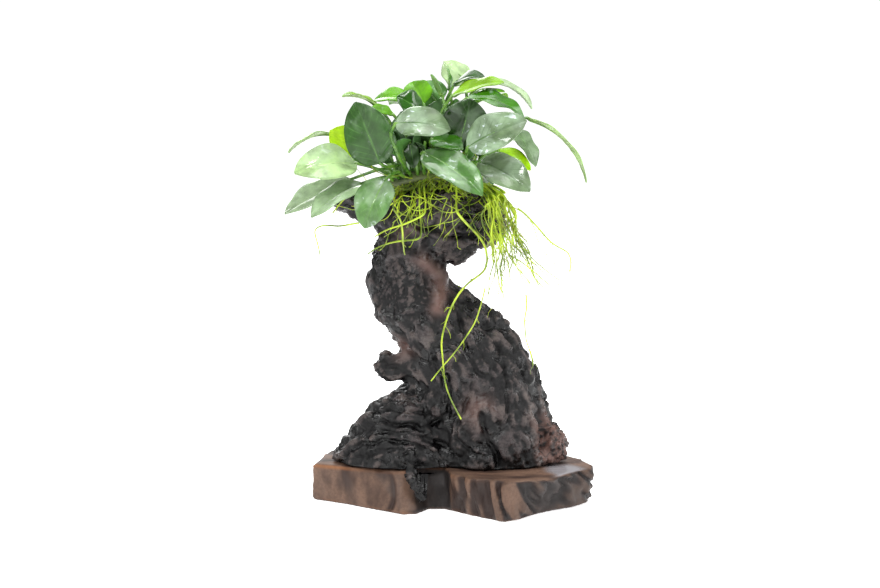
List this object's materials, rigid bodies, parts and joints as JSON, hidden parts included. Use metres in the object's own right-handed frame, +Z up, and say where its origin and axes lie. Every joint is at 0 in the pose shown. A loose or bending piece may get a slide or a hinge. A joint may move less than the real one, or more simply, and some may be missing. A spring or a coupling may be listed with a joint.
{
  "type": "anubias on driftwood",
  "caption": "Small broad-leaved water plant rooted on the crown of a piece of dark driftwood that stands on a sawn wooden slab.",
  "frame": {"origin": "on the floor, under the middle of the whole object's bounding box", "axes": "+Z up, +X to the right and +Y away from the front, where the long roots hang over the driftwood"},
  "size_m": [0.1538, 0.101, 0.2214],
  "materials": {
    "slab_wood": "sawn brown wood, rough bark edge, wet on top",
    "driftwood": "near-black, furrowed, damp",
    "rhizome": "green-brown creeping stem",
    "root": "yellow-green, smooth, slightly see-through",
    "leaf_young": "yellow-green, thin, lit through",
    "leaf_fresh": "pale green, satin",
    "leaf_bright": "bright green, satin",
    "leaf_green": "mid green, glossy",
    "leaf_grey": "grey-green, glossy, wet",
    "leaf_mature": "dark green, glossy",
    "leaf_dark": "very dark green, glossy, wet"
  },
  "bodies": {
    "root": {"base_slab": "slab_wood", "driftwood_drip_root": "driftwood", "driftwood_heel_root": "driftwood", "driftwood_knee_root": "driftwood", "driftwood_left_arm": "driftwood", "driftwood_neck": "driftwood", "driftwood_right_arm": "driftwood", "driftwood_trunk": "driftwood", "leaf_back_centre": "leaf_green", "leaf_back_centre_low": "leaf_mature", "leaf_back_left": "leaf_mature", "leaf_back_left_low": "leaf_green", "leaf_back_left_top": "leaf_green", "leaf_back_right": "leaf_mature", "leaf_back_right_low": "leaf_dark", "leaf_back_right_top": "leaf_bright", "leaf_centre_pale": "leaf_grey", "leaf_front_large_glossy": "leaf_green", "leaf_front_small_dark": "leaf_dark", "leaf_front_small_glossy": "leaf_green", "leaf_left_drooping": "leaf_fresh", "leaf_left_hanging": "leaf_green", "leaf_left_large_dark": "leaf_mature", "leaf_left_low_inner": "leaf_green", "leaf_left_low_outer": "leaf_mature", "leaf_left_pale": "leaf_fresh", "leaf_left_yellow": "leaf_young", "leaf_right_dark_glossy": "leaf_dark", "leaf_right_drooping": "leaf_fresh", "leaf_right_large_grey": "leaf_grey", "leaf_right_long": "leaf_green", "leaf_right_low_large": "leaf_grey", "leaf_right_outer": "leaf_mature", "leaf_right_side": "leaf_green", "leaf_right_top_pale": "leaf_fresh", "leaf_right_top_thin": "leaf_bright", "leaf_right_yellow": "leaf_young", "leaf_small_bright": "leaf_bright", "leaf_top_back_pale": "leaf_fresh", "leaf_top_centre_bright": "leaf_bright", "leaf_top_centre_dark": "leaf_mature", "leaf_top_dark": "leaf_mature", "leaf_top_filler_dark": "leaf_mature", "leaf_top_left_bright": "leaf_bright", "leaf_top_left_edge": "leaf_fresh", "leaf_top_long_light": "leaf_fresh", "leaf_top_upright_left": "leaf_green", "leaf_top_upright_right": "leaf_green", "rhizome": "rhizome", "root_bundle_right": "root", "root_crossing": "root", "root_hanging_front": "root", "root_left_arc": "root", "root_left_arm": "root", "root_left_low": "root", "root_left_strand": "root", "root_long_front": "root", "root_mat_front": "root", "root_right_far": "root", "root_right_hanging": "root"}
  },
  "joints": []
}
